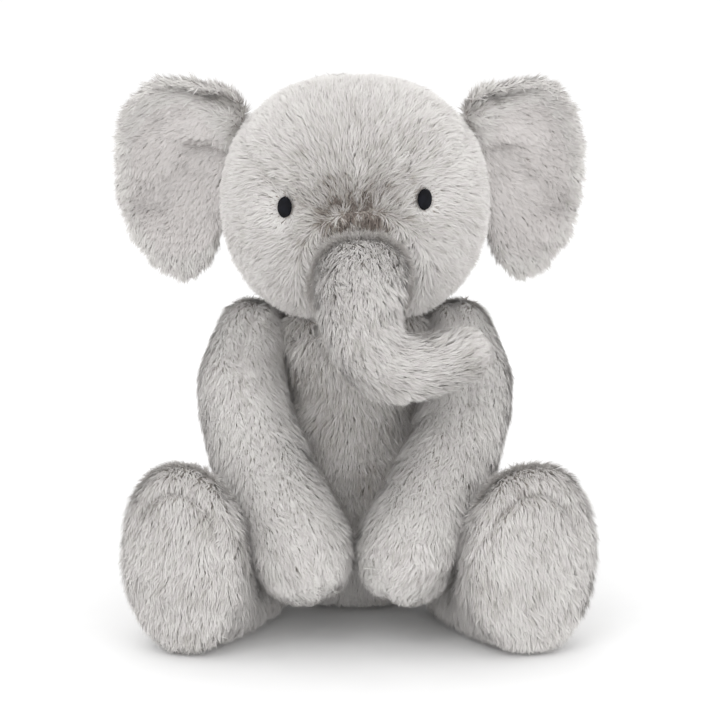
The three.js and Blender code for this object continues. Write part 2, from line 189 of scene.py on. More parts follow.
def cloth(name, light, dark, patch=60.0, grain=900.0, share=0.5, rough=(0.8, 0.98), bump=0.4,
          depth=0.0006, sheen=0.3, yarn=None):
    # a fabric: mottled colour, uneven roughness and a fine bump, woven where yarn is given
    made = bpy.data.materials.new(name)
    made.use_nodes = True
    tree = made.node_tree
    add = nodeAdder(tree)
    surface = tree.nodes["Principled BSDF"]
    mottle = add("ShaderNodeGroup", node_tree=mottleGroup)
    for key, value in {"Light": light, "Dark": dark, "Patch": patch, "Grain": grain, "Share": share}.items():
        mottle.inputs[key].default_value = value
    height = mottle.outputs["Height"]
    if yarn:
        woven = add("ShaderNodeGroup", node_tree=weaveGroup)
        woven.inputs["Yarn"].default_value = yarn
        height = woven.outputs["Height"]
    evenness = {0: mottle.outputs["Height"], 1: 0.3, 2: 0.7, 3: rough[0], 4: rough[1]}
    roughness = add("ShaderNodeMapRange", evenness)
    relief = add("ShaderNodeBump", {"Strength": bump, "Distance": depth, "Height": height})
    tree.links.new(mottle.outputs["Color"], surface.inputs["Base Color"])
    tree.links.new(roughness.outputs[0], surface.inputs["Roughness"])
    tree.links.new(relief.outputs[0], surface.inputs["Normal"])
    surface.inputs["Sheen Weight"].default_value = sheen
    surface.inputs["Sheen Roughness"].default_value = 0.5
    return made


def pileShade(name, colour):
    made = bpy.data.materials.new(name)
    made.use_nodes = True
    surface = made.node_tree.nodes["Principled BSDF"]
    surface.inputs["Base Color"].default_value = colour
    surface.inputs["Roughness"].default_value = 0.72
    surface.inputs["Specular IOR Level"].default_value = 0.25
    surface.inputs["Sheen Weight"].default_value = 0.25
    surface.inputs["Sheen Roughness"].default_value = 0.6
    return made


# The pile's colours, from pale tips to dark roots: each strand takes one of them
palettes = {
    "fur": [(223, 221, 218), (216, 212, 211), (205, 203, 198),
            (194, 189, 187), (168, 162, 154), (131, 120, 113)],
    "lining": [(222, 218, 216), (213, 209, 207), (203, 199, 197),
               (191, 186, 184), (168, 160, 157), (132, 122, 118)],
}

backingCloth = cloth("backingCloth", linear(200, 194, 188), linear(160, 151, 143), patch=90.0, grain=1400.0,
                     share=0.6, bump=0.6)
liningCloth = cloth("liningCloth", linear(192, 185, 182), linear(148, 139, 135), patch=90.0, grain=1500.0,
                    share=0.6, bump=0.5)
looseFibre = cloth("looseFibre", linear(246, 245, 240), linear(214, 211, 203), patch=45.0, grain=500.0,
                   share=0.6, bump=0.9, depth=0.002)
pelletCanvas = cloth("pelletCanvas", linear(224, 217, 203), linear(201, 192, 176), yarn=420.0, bump=0.5)
labelRibbon = cloth("labelRibbon", linear(240, 239, 235), linear(228, 226, 221), yarn=900.0, bump=0.25,
                    rough=(0.42, 0.6), sheen=0.5)
eyeThread = cloth("eyeThread", linear(20, 21, 29), linear(9, 9, 14), patch=300.0, grain=2500.0, share=0.5,
                  rough=(0.6, 0.8), bump=0.2, depth=0.0001, sheen=0.0)
# the thread hardly shines
eyeThread.node_tree.nodes["Principled BSDF"].inputs["Specular IOR Level"].default_value = 0.22
print("materials made")


# The pile: strands on a skin, leaning along its nap and drawn together into locks

def makeStrand():
    # a bent strand of unit reach and unit rise, lying along x
    half = 0.033
    line = [(0.0, 0.0, 1.0), (0.26, 0.5, 1.0), (1.0, 1.0, 0.0)]
    verts = []
    for reach, rise, width in line[:2]:
        verts += [(reach, -half * width, rise), (reach, half * width, rise)]
    verts.append((1.0, 0.0, 1.0))
    mesh = bpy.data.meshes.new("strand")
    mesh.from_pydata(verts, [], [(0, 2, 3), (0, 3, 1), (2, 4, 3)])
    keep(mesh, "along", np.array([0.0, 0.0, 0.5, 0.5, 1.0]))
    for face in mesh.polygons:
        face.use_smooth = True
    return addObject("strand", mesh)


strand = makeStrand()


def makePileTree(name, shades):
    tree = bpy.data.node_groups.new(name, "GeometryNodeTree")
    face = tree.interface
    face.new_socket(name="Skin", in_out="INPUT", socket_type="NodeSocketGeometry")
    sizes = {"Density": 2e6, "Length": 0.0085, "Width": 0.96, "Lock Size": 0.0022, "Lock Pull": 0.55,
             "Fan": 0.6, "Stray": 0.32, "Floor": 0.0003}
    for key, value in sizes.items():
        face.new_socket(name=key, in_out="INPUT", socket_type="NodeSocketFloat").default_value = value
    face.new_socket(name="Seed", in_out="INPUT", socket_type="NodeSocketInt").default_value = 1
    face.new_socket(name="Pile", in_out="OUTPUT", socket_type="NodeSocketGeometry")
    add = nodeAdder(tree)
    taken = add("NodeGroupInput").outputs

    def named(attribute, kind="FLOAT"):
        return add("GeometryNodeInputNamedAttribute", {"Name": attribute}, data_type=kind).outputs[0]

    def maths(operation, *values):
        return add("ShaderNodeMath", dict(enumerate(values)), operation=operation).outputs[0]

    def vectors(operation, *values):
        node = add("ShaderNodeVectorMath", dict(enumerate(values)), operation=operation)
        return node.outputs[1] if operation == "DOT_PRODUCT" else node.outputs[0]

    def scaled(vector, by):
        return add("ShaderNodeVectorMath", {0: vector, "Scale": by}, operation="SCALE").outputs[0]

    def chance(low, high, seed):
        return add("FunctionNodeRandomValue", {2: low, 3: high, "Seed": maths("ADD", taken["Seed"], seed)},
                   data_type="FLOAT").outputs[1]

    density = maths("MULTIPLY", taken["Density"], named("pileDensity"))
    spread = add("GeometryNodeDistributePointsOnFaces",
                 {"Mesh": taken["Skin"], "Density": density, "Seed": taken["Seed"]})
    normal = spread.outputs["Normal"]
    place = add("GeometryNodeInputPosition").outputs[0]
    cell = add("ShaderNodeTexVoronoi", {"Vector": place, "Scale": maths("DIVIDE", 1.0, taken["Lock Size"])},
               voronoi_dimensions="3D", feature="F1")
    lockRandom = cell.outputs["Color"]
    # the way to the middle of the strand's lock, along the skin
    inward = vectors("SUBTRACT", cell.outputs["Position"], place)
    gather = vectors("SUBTRACT", inward, scaled(normal, vectors("DOT_PRODUCT", inward, normal)))
    # each lock fans a little off the nap, and each strand strays a little more
    fan = scaled(vectors("SUBTRACT", lockRandom, (0.5, 0.5, 0.5)), taken["Fan"])
    stray = add("FunctionNodeRandomValue", {0: (-1.0, -1.0, -1.0), 1: (1.0, 1.0, 1.0), "Seed": taken["Seed"]},
                data_type="FLOAT_VECTOR").outputs[0]
    lean = vectors("ADD", named("nap", "FLOAT_VECTOR"), vectors("ADD", fan, scaled(stray, taken["Stray"])))
    rise = named("pileRise")
    turned = add("FunctionNodeAxesToRotation", {0: normal, 1: lean}, primary_axis="Z", secondary_axis="X")
    lockParts = add("ShaderNodeSeparateXYZ", {0: lockRandom}).outputs
    lockLength = add("ShaderNodeMapRange", {0: lockParts[0], 3: 0.86, 4: 1.12}).outputs[0]
    length = maths("MULTIPLY", maths("MULTIPLY", taken["Length"], named("pileLength")),
                   maths("MULTIPLY", lockLength, chance(0.74, 1.08, 3)))
    riseHere = maths("MULTIPLY", rise, chance(0.72, 1.12, 4))
    flatShare = maths("SUBTRACT", 1.0, maths("MULTIPLY", riseHere, riseHere))
    reachHere = maths("SQRT", maths("MAXIMUM", flatShare, 0.04))
    scale = add("ShaderNodeCombineXYZ", {
        0: maths("MULTIPLY", length, reachHere),
        1: maths("MULTIPLY", taken["Length"], taken["Width"]),
        2: maths("MULTIPLY", length, riseHere)}).outputs[0]
    # the strand's tone: soft patches, its lock, and chance
    soft = {"Vector": place, "Scale": 95.0, "Detail": 3.0, "Roughness": 0.6}
    patch = add("ShaderNodeTexNoise", soft).outputs[0]
    tone = maths("ADD", maths("ADD", maths("MULTIPLY", maths("SUBTRACT", patch, 0.5), 0.9),
                              maths("MULTIPLY", lockParts[1], 0.34)),
                 maths("ADD", chance(0.0, 0.36, 5), named("pileTone")))

    def stored(geometry, attribute, value, kind="FLOAT"):
        held = {"Geometry": geometry, "Name": attribute, "Value": value}
        return add("GeometryNodeStoreNamedAttribute", held, data_type=kind, domain="POINT").outputs[0]

    points = stored(spread.outputs["Points"], "gather", gather, "FLOAT_VECTOR")
    points = stored(points, "tone", tone)
    shape = add("GeometryNodeObjectInfo", {"Object": strand})
    planted = add("GeometryNodeInstanceOnPoints", {
        "Points": points, "Instance": shape.outputs["Geometry"],
        "Rotation": turned.outputs[0], "Scale": scale})
    solid = add("GeometryNodeRealizeInstances", {0: planted.outputs[0]}).outputs[0]
    along = named("along")
    pull = maths("MULTIPLY", maths("POWER", along, 1.4), taken["Lock Pull"])
    drawn = scaled(named("gather", "FLOAT_VECTOR"), pull)
    solid = add("GeometryNodeSetPosition", {"Geometry": solid, "Offset": drawn}).outputs[0]
    parts = add("ShaderNodeSeparateXYZ", {0: add("GeometryNodeInputPosition").outputs[0]}).outputs
    aboveFloor = maths("MAXIMUM", parts[2], taken["Floor"])
    lifted = add("ShaderNodeCombineXYZ", {0: parts[0], 1: parts[1], 2: aboveFloor})
    solid = add("GeometryNodeSetPosition", {"Geometry": solid, "Position": lifted.outputs[0]}).outputs[0]
    # roots read one or two shades darker than their own tips
    depth = maths("MULTIPLY", maths("LESS_THAN", along, 0.3), 0.2)
    level = maths("ADD", named("tone"), depth)
    for step, shade in enumerate(shades):
        chosen = maths("GREATER_THAN", level, -9.0 if step == 0 else 0.12 + 0.2 * step)
        picked = {"Geometry": solid, "Selection": chosen, "Material": shade}
        solid = add("GeometryNodeSetMaterial", picked).outputs[0]
    add("NodeGroupOutput", {"Pile": solid})
    return tree


pileTrees = {}
for palette, colours in palettes.items():
    shades = [pileShade(f"{palette}Shade{n + 1}", linear(*colour)) for n, colour in enumerate(colours)]
    pileTrees[palette] = makePileTree(f"{palette}Pile", shades)


def growPile(name, skin, chosen, palette="fur", **sizes):
    # a plain mesh of strands on the part of the skin where chosen is above zero
    keep(skin.data, "pileDensity", chosen)
    grower = skin.modifiers.new("pile", "NODES")
    grower.node_group = pileTrees[palette]
    for socket in grower.node_group.interface.items_tree:
        if socket.in_out == "INPUT" and socket.name in sizes:
            grower[socket.identifier] = sizes[socket.name]
    shown = skin.evaluated_get(bpy.context.evaluated_depsgraph_get())
    mesh = bpy.data.meshes.new_from_object(shown)
    skin.modifiers.remove(grower)
    skin.data.attributes.remove(skin.data.attributes["pileDensity"])
    for extra in [a.name for a in mesh.attributes if a.name in ("gather", "tone", "along", "pileDensity")]:
        mesh.attributes.remove(mesh.attributes[extra])
    mesh.name = name
    print(f"{name}: {len(mesh.polygons)} faces")
    return addObject(name, mesh)


# Skins: each soft part's cloth as one closed, filled form over its panels

skinSettings = {
    "voxel": 0.0032,
    "smoothing": 12,
    "fillingGrowth": 0.0026,
    "earGrowth": 0.0007,
    "pressure": 4.0,
    "frames": 20,
    "seamWidth": 0.0035,
}


def joinNodes(name, panels, fillings):
    # one mesh of a part's panels and its filling, which is grown to meet the cloth
    form = bmesh.new()
    for node in [*panels, *fillings]:
        part = bmesh.new()
        part.from_mesh(bpy.data.objects[node].data)
        bmesh.ops.remove_doubles(part, verts=part.verts, dist=1e-5)
        part.normal_update()
        growth = skinSettings["fillingGrowth"] if node in fillings else 0.0
        if node.startswith("ear"):
            growth = skinSettings["earGrowth"]
        moved = [(vert, vert.co + vert.normal * growth) for vert in part.verts]
        for vert, target in moved:
            vert.co = target
        mesh = bpy.data.meshes.new(node + "Copy")
        part.to_mesh(mesh)
        part.free()
        form.from_mesh(mesh)
        bpy.data.meshes.remove(mesh)
    mesh = bpy.data.meshes.new(name)
    form.to_mesh(mesh)
    form.free()
    return addObject(name, mesh)


def applied(piece):
    # bakes a piece's modifiers into its mesh
    shown = piece.evaluated_get(bpy.context.evaluated_depsgraph_get())
    mesh = bpy.data.meshes.new_from_object(shown)
    old = piece.data
    piece.modifiers.clear()
    piece.data = mesh
    bpy.data.meshes.remove(old)


def largestIsland(piece):
    form = bmesh.new()
    form.from_mesh(piece.data)
    left = set(form.verts)
    islands = []
    while left:
        stack = [left.pop()]
        island = list(stack)
        while stack:
            for edge in stack.pop().link_edges:
                for vert in edge.verts:
                    if vert in left:
                        left.remove(vert)
                        stack.append(vert)
                        island.append(vert)
        islands.append(island)
    islands.sort(key=len)
    for island in islands[:-1]:
        bmesh.ops.delete(form, geom=island, context="VERTS")
    form.to_mesh(piece.data)
    form.free()


def relax(mesh, rounds):
    # smooths facets away without drawing the form in: each round goes in, then back out a little further
    edges = np.empty(len(mesh.edges) * 2, int)
    mesh.edges.foreach_get("vertices", edges)
    first, second = edges.reshape(-1, 2).T
    count = np.bincount(edges, minlength=len(mesh.vertices))[:, None]
    points = places(mesh)
    for step in (0.5, -0.52) * rounds:
        total = np.zeros_like(points)
        np.add.at(total, first, points[second])
        np.add.at(total, second, points[first])
        points = points + step * (total / count - points)
    setPlaces(mesh, points)


def panelTrees(nodes):
    trees = []
    for node in nodes:
        mesh = bpy.data.objects[node].data
        corners = [vert.co for vert in mesh.vertices]
        trees.append(BVHTree.FromPolygons(corners, [face.vertices[:] for face in mesh.polygons]))
    return trees


def seamCloseness(points, nodes, width):
    # 1 on a seam between two panels, falling to 0 a few millimetres away
    if len(nodes) < 2:
        return np.zeros(len(points))
    reach = np.array([[tree.find_nearest(Vector(p))[3] for p in points] for tree in panelTrees(nodes)])
    reach.sort(axis=0)
    return np.exp(-((reach[1] - reach[0]) / width) ** 2)


def puffUp(piece, held, cap):
    # fills the cloth with soft pressure while its seams hold it in
    start = places(piece.data)
    group = piece.vertex_groups.new(name="seams")
    for index in np.nonzero(held > 0.5)[0]:
        group.add([int(index)], float(held[index]), "REPLACE")
    modifier = piece.modifiers.new("cloth", "CLOTH")
    settings = modifier.settings
    settings.quality = 4
    settings.mass = 0.25
    settings.tension_stiffness = 18
    settings.compression_stiffness = 18
    settings.bending_stiffness = 0.8
    settings.use_pressure = True
    settings.uniform_pressure_force = skinSettings["pressure"]
    settings.effector_weights.gravity = 0
    settings.vertex_group_mass = group.name
    modifier.point_cache.frame_end = skinSettings["frames"]
    for step in range(1, skinSettings["frames"] + 1):
        scene.frame_set(step)
    shown = piece.evaluated_get(bpy.context.evaluated_depsgraph_get())
    end = places(shown.data)
    piece.modifiers.clear()
    piece.vertex_groups.clear()
    scene.frame_set(1)
    moved = end - start
    far = np.linalg.norm(moved, axis=1, keepdims=True)
    setPlaces(piece.data, start + moved * np.minimum(1, cap / np.maximum(far, 1e-9)))


def makeSkin(name, panels, fillings=(), voxel=None, cap=0.003, seamDepth=0.0012, smoothing=None, shrink=0.0):
    skin = joinNodes(name, panels, fillings)
    remesh = skin.modifiers.new("remesh", "REMESH")
    remesh.mode = "VOXEL"
    remesh.voxel_size = voxel or skinSettings["voxel"]
    remesh.use_smooth_shade = True
    applied(skin)
    largestIsland(skin)
    mesh = skin.data
    relax(mesh, smoothing or skinSettings["smoothing"])
    setPlaces(mesh, places(mesh) - facing(mesh) * shrink)
    closeness = seamCloseness(places(mesh), panels, skinSettings["seamWidth"])
    if cap:
        puffUp(skin, closeness, cap)
    finer = skin.modifiers.new("finer", "SUBSURF")
    finer.levels = finer.render_levels = 1
    applied(skin)
    mesh = skin.data
    points = places(mesh)
    closeness = seamCloseness(points, panels, skinSettings["seamWidth"])
    points -= facing(mesh) * (closeness * seamDepth)[:, None]
    points[:, 2] = np.maximum(points[:, 2], 0.0002)
    setPlaces(mesh, points)
    for face in mesh.polygons:
        face.use_smooth = True
    skin.data.materials.clear()
    print(f"{name}: {len(mesh.vertices)} points")
    return skin, closeness


# how far the pile strays from its nap, and how patchy its tone is
pileCharacter = {"muss": 0.55, "patches": 0.16}


def dressSkin(skin, closeness, nap, tone=0.0, length=1.0, rise=0.74, material=backingCloth):
    # stores what the pile reads: the way it lies, and its tone, length and rise
    mesh = skin.data
    count = len(mesh.vertices)
    mesh.materials.append(material)
    points = places(mesh)
    mussed = unit(nap) + pileCharacter["muss"] * (tousle(points, 55.0) + 0.6 * tousle(points, 130.0))
    patches = tousle(points + 0.5, 48.0)[:, 0] + 0.8 * tousle(points, 120.0)[:, 1]
    keep(mesh, "nap", unit(mussed), "FLOAT_VECTOR")
    uneven = 0.1 * closeness + pileCharacter["patches"] * patches
    keep(mesh, "pileTone", np.broadcast_to(tone, count) + uneven)
    keep(mesh, "pileLength", np.broadcast_to(length, count) * (1 - 0.2 * closeness))
    keep(mesh, "pileRise", np.broadcast_to(rise, count) * (1 - 0.15 * closeness))


def settle(skin, nodes, piles, body=None, across=None):
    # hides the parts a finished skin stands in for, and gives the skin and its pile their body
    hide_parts(*nodes)
    for piece in (skin, *piles):
        if across:
            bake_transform(piece, *across)
        else:
            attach(piece, body)


# Head: a wide rounded ball with a parting between the eyes, darkened with painted shade over the trunk's root

headPiece = {
    "density": 2.3e6,
    "length": 0.0078,
    "partingSize": (0.021, 0.02, 0.0125),
    "patchSize": (0.026, 0.03, 0.02),
    # how dark the painted shade over the trunk's root is
    "partingShade": 0.7,
    "patchRise": 0.011,
    "speckle": 1.1,
    # the ring of pile that leans in over the trunk's seam
    "rootRing": 0.0265,
    "rootRingWidth": 0.0075,
    "leanIn": 1.1,
    "fuller": 0.0016,
    "crownRise": 0.002,
    # round each eye: how deep it is set, and how far the hollow, the turned pile and the short pile reach
    "eyeHollow": 0.0022,
    "eyeReach": 0.0095,
    "eyeNapReach": 0.008,
    "eyeShort": (0.0035, 0.014),
    "eyeBare": (0.0028, 0.0046),
    "fill": 0.8,
}
headPanels = ["head_forehead_panel", "head_chin_panel", "head_cheek_left", "head_cheek_right",
              "head_back_left", "head_back_right"]
headMiddle, headLow, headHigh = middleOf(*headPanels)
eyeShift = {"left": (-0.0012, 0.0, 0.0012), "right": (0.0012, 0.0, 0.0016)}
eyes = {side: middleOf(f"eye_{side}")[0] + shift for side, shift in eyeShift.items()}
# the middle of the patch of painted shade over the trunk's root, and the place that the face's pile grows
# away from
parting = np.array([-0.001, headLow[1] + 0.002, headMiddle[2] - 0.004])
whorl = parting - np.array([-0.002, 0.0, 0.011])
trunkPanels = ["trunk_top_panel", "trunk_under_panel"]
trunkHigh = middleOf(*trunkPanels)[2]
trunkRoot = np.array([0.0033, trunkHigh[1] - 0.0062, trunkHigh[2] - 0.0208])


def makeHead():
    skin, closeness = makeSkin("headSkin", headPanels, ["head_stuffing"], voxel=0.0034, cap=0.0028)
    mesh = skin.data
    points = places(mesh)
    points += facing(mesh) * headPiece["fuller"]
    points[:, 2] += headPiece["crownRise"] * smoothstep(points[:, 2], headMiddle[2], headHigh[2])
    away = {side: np.linalg.norm(points - eye, axis=1) for side, eye in eyes.items()}
    nearest = np.minimum(away["left"], away["right"])
    hollow = np.exp(-(nearest / headPiece["eyeReach"]) ** 2)
    points -= facing(mesh) * (hollow * headPiece["eyeHollow"])[:, None]
    setPlaces(mesh, points)
    nap = unit(points - whorl)
    nap[:, 2] -= 0.75 * np.abs(points[:, 0]) / headHigh[0] * smoothstep(-points[:, 1], -0.05, 0.02)
    # behind the ears the pile runs down
    back = smoothstep(points[:, 1], headMiddle[1] - 0.022, headMiddle[1] + 0.014)[:, None]
    nap = nap * (1 - 0.9 * back) + np.array([0.0, 0.25, -1.0]) * back
    # round the trunk's root it leans in over the seam
    toRoot = (points - trunkRoot) * (1.0, 0.0, 1.0)
    offRing = np.linalg.norm(toRoot, axis=1) - headPiece["rootRing"]
    around = np.exp(-(offRing / headPiece["rootRingWidth"]) ** 2)
    around *= smoothstep(-points[:, 1], -headMiddle[1], -headLow[1] - 0.01)
    nap = nap * (1 - around)[:, None] - unit(toRoot) * headPiece["leanIn"] * around[:, None]
    for side, eye in eyes.items():
        near = np.exp(-(away[side] / headPiece["eyeNapReach"]) ** 2)[:, None]
        nap = nap * (1 - near) + unit(points - eye) * near * 1.4
    patch = parting + np.array([0.0, 0.0, headPiece["patchRise"]])
    # painted shade: a speckled dark patch between the eyes, over the trunk's root
    dark = 0.5 * spot(points, patch, headPiece["patchSize"]) + spot(points, parting, headPiece["partingSize"])
    dark *= 1 + headPiece["speckle"] * tousle(points, 190.0)[:, 0]
    short = smoothstep(nearest, *headPiece["eyeShort"])
    length = (0.34 + 0.66 * short) * (1 - 0.22 * dark)
    # where the two directions meet on the crown it lies flatter
    crown = np.exp(-((points[:, 1] - headMiddle[1] + 0.004) / 0.022) ** 2)
    crown *= smoothstep(points[:, 2], headMiddle[2], headHigh[2])
    rise = 0.66 + 0.1 * dark - 0.2 * (1 - short) - 0.12 * back[:, 0] - 0.26 * crown + 0.08 * around
    # painted shade over the trunk's root, and painted light on the crown and round the trunk's root,
    # lightening where shade falls among the strands
    tone = headPiece["partingShade"] * dark - 0.3 * (1 - short) - 0.12 * crown - 0.06 * around
    dressSkin(skin, closeness, nap, tone, length, rise)
    bare = smoothstep(nearest, *headPiece["eyeBare"])
    front = 1.0 * (points[:, 1] < headMiddle[1])
    sizes = {"Density": headPiece["density"], "Length": headPiece["length"]}
    piles = [growPile("facePile", skin, front * bare, Seed=11, **sizes),
             growPile("headBackPile", skin, (1 - front) * bare, Seed=12, **sizes)]
    settle(skin, headPanels, piles, body="head")


makeHead()


# Torso: a pear that sits on a flat base

torsoPiece = {
    "density": 2.1e6,
    "length": 0.008,
    # the collar spreads and rises to meet the head, between these heights
    "collarHeights": (0.115, 0.15),
    "collarSpread": 0.45,
    "collarRise": 0.008,
    # how much painted shade darkens the belly's front, between the arms
    "bellyShade": 0.26,
    "underCover": 0.25,
    "fill": 0.7,
}
torsoPanels = ["torso_front_panel", "torso_back_left", "torso_back_right", "torso_base"]
torsoMiddle = middleOf(*torsoPanels)[0]
neckMiddle = middleOf("neck_plug")[0]


def makeTorso():
    skin, closeness = makeSkin("torsoSkin", torsoPanels, ["torso_stuffing", "pellet_bag"], voxel=0.0036)
    points = places(skin.data)
    collar = smoothstep(points[:, 2], *torsoPiece["collarHeights"])
    spread = 1 + torsoPiece["collarSpread"] * collar[:, None]
    points[:, :2] = neckMiddle[:2] + (points[:, :2] - neckMiddle[:2]) * spread
    points[:, 2] += torsoPiece["collarRise"] * collar
    setPlaces(skin.data, points)
    nap = np.tile([0.0, 0.0, -1.0], (len(points), 1)) + 0.25 * unit(points - torsoMiddle)
    under = smoothstep(-points[:, 2], -0.02, 0.0)
    # painted shade on the belly's front between the arms, from a little above the base
    ahead = smoothstep(-facing(skin.data)[:, 1], 0.2, 0.8) * smoothstep(points[:, 2], 0.02, 0.06)
    dressSkin(skin, closeness, nap, torsoPiece["bellyShade"] * ahead, 1 - 0.5 * under, 0.68)
    bottom = facing(skin.data)[:, 2] < -0.8
    front = 1.0 * (points[:, 1] < torsoMiddle[1])
    cover = np.where(bottom, torsoPiece["underCover"], 1.0)
    sizes = {"Density": torsoPiece["density"], "Length": torsoPiece["length"]}
    piles = [growPile("bellyPile", skin, front * cover, Seed=21, **sizes),
             growPile("backPile", skin, (1 - front) * cover, Seed=22, **sizes)]
    settle(skin, torsoPanels, piles, body="torso")


makeTorso()


# Arms: long soft tubes with painted shade in the creases at their shoulders

armPiece = {
    "density": 2.3e6,
    "length": 0.0078,
    "fuller": 0.002,
    "pawFuller": 0.001,
    "pawHeights": (-0.1, -0.05),
    "shoulderOut": 0.003,
    "shoulderHeights": (0.09, 0.145),
    # the painted shade of the crease lies this far inside, ahead of and below the shoulder's top
    "creaseFrom": (0.017, 0.012, 0.008),
    "creaseSize": (0.01, 0.02, 0.013),
    "shoulderCreaseShade": 0.4,
    "fill": 0.75,
}


def makeArm(side):
    panels = [f"arm_{side}_outer", f"arm_{side}_inner"]
    name = f"arm{side.capitalize()}"
    skin, closeness = makeSkin(name + "Skin", panels, [f"arm_{side}_stuffing"], voxel=0.0032)
    middle, low, high = middleOf(*panels)
    points = places(skin.data)
    end = smoothstep(-points[:, 2], *armPiece["pawHeights"])
    points += facing(skin.data) * (armPiece["fuller"] + armPiece["pawFuller"] * end)[:, None]
    handed = 1 if side == "left" else -1
    shoulder = smoothstep(points[:, 2], *armPiece["shoulderHeights"])
    points[:, 0] += handed * armPiece["shoulderOut"] * shoulder
    points[:, 2] = np.maximum(points[:, 2], 0.0002)
    setPlaces(skin.data, points)
    top = points[points[:, 2] > high[2] - 0.02].mean(axis=0)
    paw = points[points[:, 2] < low[2] + 0.03].mean(axis=0)
    down = unit((paw - top)[None])[0]
    nap = np.tile(down, (len(points), 1)) + 0.2 * unit(points - middle)
    # painted shade in the crease where the shoulder meets the head and torso
    crease = spot(points, top - np.array(armPiece["creaseFrom"]) * (handed, 1, 1), armPiece["creaseSize"])
    dressSkin(skin, closeness, nap, armPiece["shoulderCreaseShade"] * crease - 0.1, 1.0, 0.48 - 0.14 * shoulder)
    sizes = {"Density": armPiece["density"], "Length": armPiece["length"]}
    seed = 31 if side == "left" else 32
    piles = [growPile(name + "Pile", skin, np.ones(len(points)), Seed=seed, **sizes)]
    settle(skin, panels, piles, body=f"arm_{side}")


# Legs: short tubes that swell into an oval foot with a flat sole

legPiece = {
    "density": 2.3e6,
    "length": 0.0078,
    "splay": 24,
    "fuller": 0.0018,
    "aside": {"left": 0.006, "right": -0.0015},
    "soleSeamTone": 0.42,
    "soleHalfWidth": 0.0305,
    # the seam's place and spread, as shares of the way from the sole's middle to its edge
    "seamReach": 0.8,
    "seamSpread": 0.055,
    "seamDepth": 0.003,
    "fill": 0.75,
}


def makeLeg(side):
    panels = [f"leg_{side}_outer", f"leg_{side}_inner", f"leg_{side}_sole"]
    name = f"leg{side.capitalize()}"
    skin, closeness = makeSkin(name + "Skin", panels, [f"leg_{side}_stuffing"], voxel=0.0032, seamDepth=0.001)
    mesh = skin.data
    points = places(mesh)
    handed = 1 if side == "left" else -1
    turn = math.radians(legPiece["splay"]) * handed
    ahead = np.array([math.sin(turn), -math.cos(turn), 0.0])
    beside = np.array([math.cos(turn), math.sin(turn), 0.0])
    soleMiddle, _, soleHigh = middleOf(f"leg_{side}_sole")
    sole = smoothstep(facing(mesh) @ ahead, 0.45, 0.85)
    points = points + facing(mesh) * legPiece["fuller"]
    points[:, 0] += legPiece["aside"][side] * smoothstep(np.abs(points[:, 0]), 0.06, 0.1)
    points[:, 2] = np.maximum(points[:, 2], 0.0002)
    # the sole's seam is drawn in a little inside the foot's edge, most at the top
    up = (points[:, 2] - soleMiddle[2]) / (soleHigh[2] - soleMiddle[2])
    reach = np.hypot((points - soleMiddle) @ beside / legPiece["soleHalfWidth"], up)
    seam = np.exp(-((reach - legPiece["seamReach"]) / legPiece["seamSpread"]) ** 2)
    seam *= smoothstep(facing(mesh) @ ahead, 0.3, 0.6)
    seam *= 0.25 + 0.75 * smoothstep(up, 0.0, 0.6)
    setPlaces(mesh, points - ahead * (seam * legPiece["seamDepth"])[:, None])
    onTop = smoothstep(facing(mesh)[:, 2], 0.3, 0.9) * (1 - sole)
    nap = ahead * (0.3 + 0.6 * onTop)[:, None] + np.array([0.0, 0.0, -1.0])
    closeness = closeness * (1 - smoothstep(facing(mesh) @ ahead, -0.2, 0.3))
    dressSkin(skin, closeness, nap, legPiece["soleSeamTone"] * seam - 0.04, 1 - 0.1 * sole - 0.3 * seam, 0.6)
    sizes = {"Density": legPiece["density"], "Length": legPiece["length"]}
    seed = 41 if side == "left" else 42
    piles = [growPile(name + "Pile", skin, np.ones(len(points)), Seed=seed, **sizes)]
    settle(skin, panels, piles, body=f"leg_{side}")


# Ears: cupped, with a smooth lining in front and pile behind

earPiece = {
    "density": 2.6e6,
    "length": 0.0072,
    "liningLength": 0.7,
    "wider": {"left": -0.003, "right": 0.0035},
    "taller": 0.0015,
    # each fold: start and end (across, up), width, height forward in metres, and the tone painted on it as
    # shade, darker in the hollows
    "folds": [
        ((0.16, 0.6), (0.24, 0.42), 0.16, 0.005, -0.05),
        ((0.02, 0.3), (0.3, 0.33), 0.06, -0.0035, 0.34),
        ((-0.05, 0.64), (0.2, 0.82), 0.05, -0.003, 0.3),
        ((0.2, 0.82), (0.5, 0.88), 0.05, -0.002, 0.2),
        ((0.0, 0.78), (0.4, 0.97), 0.07, 0.003, 0.0),
        ((0.34, 0.26), (0.7, -0.26), 0.1, -0.004, 0.12),
        ((0.45, -0.02), (0.6, -0.5), 0.14, 0.0025, -0.05),
        ((0.3, 0.34), (0.6, 0.05), 0.06, 0.0012, 0.12),
    ],
    "fill": 0.3,
}


def foldEar(across, up):
    # how far the ear stands forward of its plain cup at each place, and how much darker its painted shade
    # makes it there
    def along(start, end, width):
        run = np.array(end) - start
        place = np.stack([across, up], axis=1) - start
        share = np.clip(place @ run / (run @ run), 0, 1)
        off = (place - share[:, None] * run) * (0.55, 1.0)
        return np.exp(-((off ** 2).sum(axis=1)) / width ** 2)

    ahead = np.zeros(len(across))
    shade = np.zeros(len(across))
    for start, end, width, height, tone in earPiece["folds"]:
        strength = along(start, end, width)
        ahead += strength * height
        shade += strength * tone
    return ahead, shade


